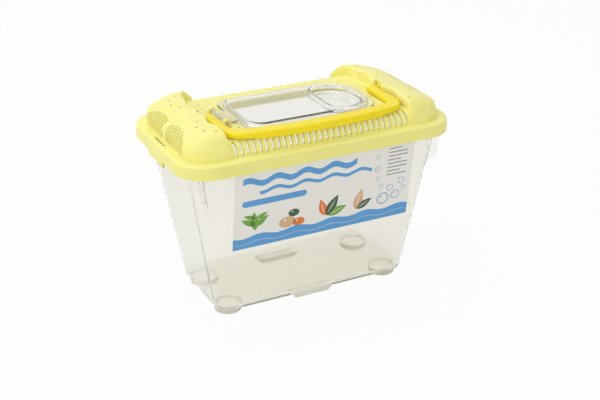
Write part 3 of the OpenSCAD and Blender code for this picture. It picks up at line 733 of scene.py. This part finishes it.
def make_hatch():
    top, under = DECK_Z + TRAY_H, DECK_Z + TRAY_H - HATCH_T
    air = 0.06  # a film of air, so that the clear flange shows the deck
    edge, fold, crown = 0.3, 0.5, 1.2  # roundings of the flange and of the tray's top
    low, step = DECK_Z + air, DECK_Z + HATCH_T
    rings = [(FLANGE + HATCH_T, under), (FLANGE + HATCH_T, low), (edge, low),
             (0.0, low + edge), (0.0, step - fold)]
    rings += [(fold - x, step - fold + z) for x, z in arc(0, 0, fold, 15, 90, 5)]
    rings += [(FLANGE - fold + x, step + fold + z) for x, z in arc(0, 0, fold, -90, 0, 5)]
    rings += [(FLANGE + crown - x, top - crown + z) for x, z in arc(0, 0, crown, 0, 90, 8)]
    hatch = make("hatch_window", [loft([[(x, y, z) for x, y in hatch_outline(inset)]
                                        for inset, z in rings])])
    floor, cup_r, bowl_r, lip_r = top - DISH_D, 2.5, 1.6, 0.7
    cup = [(x - cup_r, floor - HATCH_T + cup_r + z)
           for x, z in arc(DISH_R + HATCH_T, 0, cup_r, -90, 0, 6)]
    combine(hatch, [loft([obround(r, DISH_L, z) for r, z in
                          cup + [(DISH_R + HATCH_T, top - 0.4)]])], "UNION")
    hollow = [(DISH_R - bowl_r + x, floor + bowl_r + z)
              for x, z in arc(0, 0, bowl_r, -90, 0, 6)]
    flare = [(DISH_R + lip_r + x, top - lip_r + z) for x, z in arc(0, 0, lip_r, 180, 90, 5)]
    combine(hatch, [loft([obround(r, DISH_L, z) for r, z in
                          hollow + flare + [(DISH_R + lip_r, top + EPS)]])], "DIFFERENCE")
    y0, y1 = HATCH_Y - TONGUE_W / 2, HATCH_Y + TONGUE_W / 2
    pins = rod("Y", y0 - GAP - EAR_T, y1 + GAP + EAR_T, HATCH_PIN_R, (HINGE_X, HINGE_Z),
               chamfer=0.3)
    barrel = rod("Y", y0, y1, BARREL_R, (HINGE_X, HINGE_Z), chamfer=0.3)
    tongue = box(HINGE_X, HATCH_X0 + FLANGE / 2, y0, y1, DECK_Z + GAP, DECK_Z + GAP + HATCH_T)
    for part in (tongue, barrel, pins):
        combine(hatch, [part], "UNION")
    finish_piece(hatch, "hatch", "hatch", [HATCH_CLEAR, HINGE_CLEAR], 40)
    # the hinge's tongue, barrel and pins are milkier than the window
    for face in hatch.data.polygons:
        if face.center.x < HATCH_X0 * MM:
            face.material_index = 1


# ---- handle ----

def bail_edge(turn, half, reach, r, bow):
    """A point of a bail's corner, at this angle. Its bow is the circle that its front follows."""
    cx, cy = half - r, bow - reach - math.sqrt((bow - r) ** 2 - (half - r) ** 2)
    return (cx + r * math.cos(turn), cy + r * math.sin(turn))


def bow_edge(x, reach, bow):
    """A point of a bail's bowed front, at this x."""
    return (x, bow - reach - math.sqrt(bow * bow - x * x))


def smooth(t):
    """Ease from 0 to 1 as t goes from 0 to 1."""
    t = min(1.0, max(0.0, t))
    return t * t * (3 - 2 * t)


def hang(x, y, across):
    """How far the grip's underside hangs down, no nearer to the shoulder than the gap."""
    past_end, ease = 4, 12  # the hanging part fades out over this length at its ends
    drop = GRIP_DROP * smooth(across) * smooth((GRIP_DROP_L / 2 + past_end - abs(x)) / ease)
    past = min(DECK_RISE, max(0.0, DECK_RISE - DOME_Y - y))
    room = DECK_RISE - math.sqrt(DECK_RISE ** 2 - past ** 2)
    return min(drop, room)


def make_handle():
    outer = (HANDLE_L / 2, REACH, HANDLE_R, GRIP_BOW)
    inner = (ARM_IN, REACH - GRIP_W, HANDLE_R - ARM_W, GRIP_BOW - GRIP_W)
    starts = [bail_edge(0, *edge)[1] for edge in (outer, inner)]
    arm_steps, turn_steps, bow_steps = 12, 32, 24
    half = [tuple((edge[0], start * i / arm_steps) for edge, start in zip((outer, inner), starts))
            for i in range(arm_steps)]
    # the corners turn until they meet the bow, which is square to the line to its centre
    ends = [math.acos((edge[0] - edge[2]) / (edge[3] - edge[2])) for edge in (outer, inner)]
    for i in range(turn_steps + 1):
        half.append(tuple(bail_edge(-end * i / turn_steps, *edge)
                          for edge, end in zip((outer, inner), ends)))
    for i in range(1, bow_steps + 1):
        half.append(tuple(bow_edge(edge[3] * math.cos(end) * (1 - i / bow_steps), edge[1], edge[3])
                          for edge, end in zip((outer, inner), ends)))
    stations = [(p, q, HANDLE_T / 2) for p, q in half]
    # the arms' ends are rounded about the pins
    tips = []
    for a in range(84, 0, -12):
        t = math.radians(a)
        y = HANDLE_T / 2 * math.sin(t)
        tips.append(((outer[0], y), (inner[0], y), HANDLE_T / 2 * math.cos(t)))
    right = tips + stations
    left = [((-p[0], p[1]), (-q[0], q[1]), h) for p, q, h in right[-2::-1]]
    sections = []
    for p, q, h in right + left:
        width = math.dist(p, q)
        r = min(EDGE_R, h * 0.98)
        corners = round_rect(width, 2 * h, r, 7)
        under = [(u, -h) for u in (width * (i / 12) for i in range(-4, 5))]
        ux, uy = (p[0] - q[0]) / width, (p[1] - q[1]) / width
        mx, my = (p[0] + q[0]) / 2, (p[1] + q[1]) / 2
        section = []
        for u, v in corners[:24] + under + corners[24:]:
            x, y = mx + ux * u, my + uy * u
            low = hang(x, y, 2.4 * u / width) * smooth(-v / h * 1.5) if h > r else 0
            section.append((x, y, PIVOT_Z + v - low))
        sections.append(section)
    handle = make("bail_handle", [loft(sections)])
    pin = rod("X", HANDLE_L / 2 - EPS, PIVOT_END, PIVOT_R, (0, PIVOT_Z), chamfer=0.3)
    combine(handle, pair([pin], 0), "UNION")
    finish_piece(handle, "handle", "handle", [YELLOW], 40)


make_tank()
make_label()
make_lid()
make_hatch()
make_handle()

# ---- floor, light and camera ----

scene = bpy.context.scene
scene.view_settings.view_transform = "Standard"

FLOOR_HALF, FLOOR_Z = 3000, -0.2
floor = make("floor", [box(-FLOOR_HALF, FLOOR_HALF, -FLOOR_HALF, FLOOR_HALF, -20, FLOOR_Z)])
floor.data.materials.append(white_floor())

world = bpy.data.worlds.new("studio")
world.use_nodes = True
scene.world = world
nodes, links = world.node_tree.nodes, world.node_tree.links
background = nodes["Background"]
path = nodes.new("ShaderNodeLightPath").outputs
seen = nodes.new("ShaderNodeMath")
seen.operation = "MAXIMUM"
links.new(path["Is Camera Ray"], seen.inputs[0])
links.new(path["Is Glossy Ray"], seen.inputs[1])
clear_seen = nodes.new("ShaderNodeMath")
clear_seen.operation = "MAXIMUM"
links.new(seen.outputs[0], clear_seen.inputs[0])
links.new(path["Is Transmission Ray"], clear_seen.inputs[1])
level = nodes.new("ShaderNodeMapRange")
level.inputs["To Min"].default_value = 0.45  # what lights the object
level.inputs["To Max"].default_value = 1.0  # what the camera, gloss and clear plastic show
links.new(clear_seen.outputs[0], level.inputs["Value"])
background.inputs["Color"].default_value = (1, 1, 1, 1)
links.new(level.outputs[0], background.inputs["Strength"])


def lamp(name, place, size, power):
    data = bpy.data.lights.new(name, "AREA")
    data.shape, data.size, data.size_y, data.energy = "RECTANGLE", size[0], size[1], power
    obj = bpy.data.objects.new(name, data)
    obj.location = place
    obj.rotation_euler = (Vector((0, 0, 0.07)) - Vector(place)).to_track_quat("-Z", "Y").to_euler()
    scene.collection.objects.link(obj)


lamp("top_box", (-0.15, 0.4, 1.2), (1.1, 0.9), 6.2)
lamp("left_box", (-1.15, -0.25, 0.7), (0.8, 0.9), 5.0)
lamp("front_box", (0.4, -1.3, 0.3), (0.9, 0.5), 2.9)

CAM_TURN, CAM_RISE, CAM_ROLL = -0.462024, 0.433615, -0.003522
CAM_AT, CAM_DISTANCE = Vector((0.00569, 0, 0.05839)), 0.79475
forward = Vector((-math.sin(CAM_TURN) * math.cos(CAM_RISE),
                  math.cos(CAM_TURN) * math.cos(CAM_RISE), -math.sin(CAM_RISE)))
flat = Vector((math.cos(CAM_TURN), math.sin(CAM_TURN), 0))
above = flat.cross(forward)
right = flat * math.cos(CAM_ROLL) + above * math.sin(CAM_ROLL)
camera = bpy.data.objects.new("camera", bpy.data.cameras.new("camera"))
camera.data.sensor_fit, camera.data.sensor_width, camera.data.lens = "HORIZONTAL", 36, 67.8
camera.matrix_world = Matrix.Translation(CAM_AT - forward * CAM_DISTANCE) @ Matrix(
    (right, right.cross(forward), -forward)).transposed().to_4x4()
scene.collection.objects.link(camera)
scene.camera = camera
